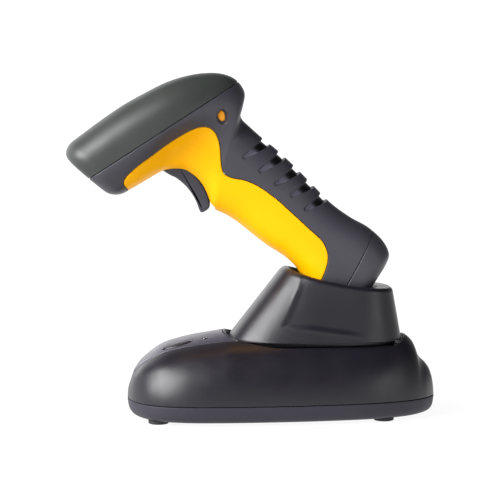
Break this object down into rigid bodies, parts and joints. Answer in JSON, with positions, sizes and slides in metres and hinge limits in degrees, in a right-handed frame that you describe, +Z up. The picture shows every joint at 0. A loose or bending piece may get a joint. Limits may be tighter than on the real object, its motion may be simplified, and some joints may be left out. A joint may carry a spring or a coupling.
{
  "type": "handheld barcode scanner in charging cradle",
  "caption": "Pistol-grip cordless barcode scanner with a trigger and ribbed handle, nose down in a domed desktop charging cradle with a sloped cup and paging button.",
  "frame": {"origin": "on the ground under the middle of the overall box, on the mirror plane of scanner and cradle", "axes": "+Z up, +X towards the back of the cradle, so the seated scanner's nose points to -X and down; +Y to the object's right when looking from behind it"},
  "size_m": [0.2204, 0.099, 0.2053],
  "materials": {
    "top_shell": "satin soft-touch, dark green-grey",
    "shell": "satin, dark grey",
    "grip_yellow": "satin, bright yellow",
    "end_cap": "satin, dark grey",
    "plug": "semi-gloss, orange yellow",
    "trigger_plastic": "satin, dark grey",
    "bezel": "matt, black",
    "window_glass": "polished, dark red tint",
    "gasket": "matt, black",
    "frame_plastic": "matt, black",
    "steel": "fine brushed",
    "led_white": "translucent, off-white",
    "circuit": "solder mask, green",
    "cell_wrap": "shrink wrap, blue",
    "contact_gold": "gold plated",
    "cradle_black": "semi-gloss fine texture, black",
    "inlay_plastic": "satin, black",
    "button_plastic": "satin, dark grey",
    "lens_amber": "smoked clear, dark",
    "plate_plastic": "matt, dark grey",
    "foot_rubber": "matt, black"
  },
  "bodies": {
    "cradle": {"cradle_base_cover": "cradle_black", "front_inlay": "inlay_plastic", "page_switch": "frame_plastic", "cradle_light_pipe": "lens_amber", "cradle_bottom_plate": "plate_plastic", "foot_1": "foot_rubber", "foot_2": "foot_rubber", "foot_3": "foot_rubber", "foot_4": "foot_rubber", "base_screw_1": "steel", "base_screw_2": "steel", "base_screw_3": "steel", "base_screw_4": "steel", "data_socket": "frame_plastic", "power_socket": "frame_plastic", "ballast_plate": "steel", "cradle_board": "circuit", "cradle_cup": "cradle_black", "cup_screw_1": "steel", "cup_screw_2": "steel", "contact_block": "frame_plastic"},
    "page_button": {"page_button": "button_plastic"},
    "charge_pins": {"charge_pin_1": "contact_gold", "charge_pin_2": "contact_gold", "charge_pin_3": "contact_gold", "charge_pin_4": "contact_gold"},
    "scanner": {"head_top_cover": "top_shell", "main_housing": "shell", "front_grip_cover": "grip_yellow", "handle_end_cap": "end_cap", "side_plug_left": "plug", "side_plug_right": "plug", "window_bezel": "bezel", "scan_window": "window_glass", "window_gasket": "gasket", "housing_screw_left": "steel", "housing_screw_right": "steel", "status_light_pipe": "led_white", "inner_frame": "frame_plastic", "scan_engine": "frame_plastic", "engine_lens": "window_glass", "aimer_lens": "window_glass", "illumination_led_left": "led_white", "illumination_led_right": "led_white", "main_board": "circuit", "beeper": "frame_plastic", "radio_module": "steel", "trigger_pin": "steel", "trigger_spring": "steel", "trigger_switch": "frame_plastic", "battery_pack": "cell_wrap", "battery_contact": "contact_gold", "charge_pad_1": "contact_gold", "charge_pad_2": "contact_gold", "charge_pad_3": "contact_gold", "charge_pad_4": "contact_gold", "end_cap_screw_1": "steel", "end_cap_screw_2": "steel"},
    "trigger": {"trigger": "trigger_plastic"},
    "switch_plunger": {"switch_plunger": "led_white"}
  },
  "joints": [
    {"name": "scanner_lift", "type": "slide", "parent": "cradle", "child": "scanner", "axis": [-0.342, 0, 0.9397], "range_m": [0, 0.13]},
    {"name": "trigger_pull", "type": "hinge", "parent": "scanner", "child": "trigger", "pos_m": [-0.04557, 0, 0.1534], "axis": [0, -1, 0], "range_deg": [0, 7], "stiffness_Nm_per_rad": 0.35, "springref_deg": -8.59},
    {"name": "switch_plunger_travel", "type": "slide", "parent": "scanner", "child": "switch_plunger", "axis": [0.4472, 0, 0.8944], "range_m": [0, 0.0015]},
    {"name": "page_button_press", "type": "slide", "parent": "cradle", "child": "page_button", "axis": [0.2672, 0, -0.9636], "range_m": [0, 0.001], "stiffness_N_per_m": 600, "springref_m": -0.001},
    {"name": "charge_pins_press", "type": "slide", "parent": "cradle", "child": "charge_pins", "axis": [-0.342, 0, 0.9397], "range_m": [-0.0012, 0], "stiffness_N_per_m": 400, "springref_m": 0.001}
  ],
  "couplings": [
    {"joint": "switch_plunger_travel", "follows": "trigger_pull", "m_per_rad": 0.011851}
  ]
}
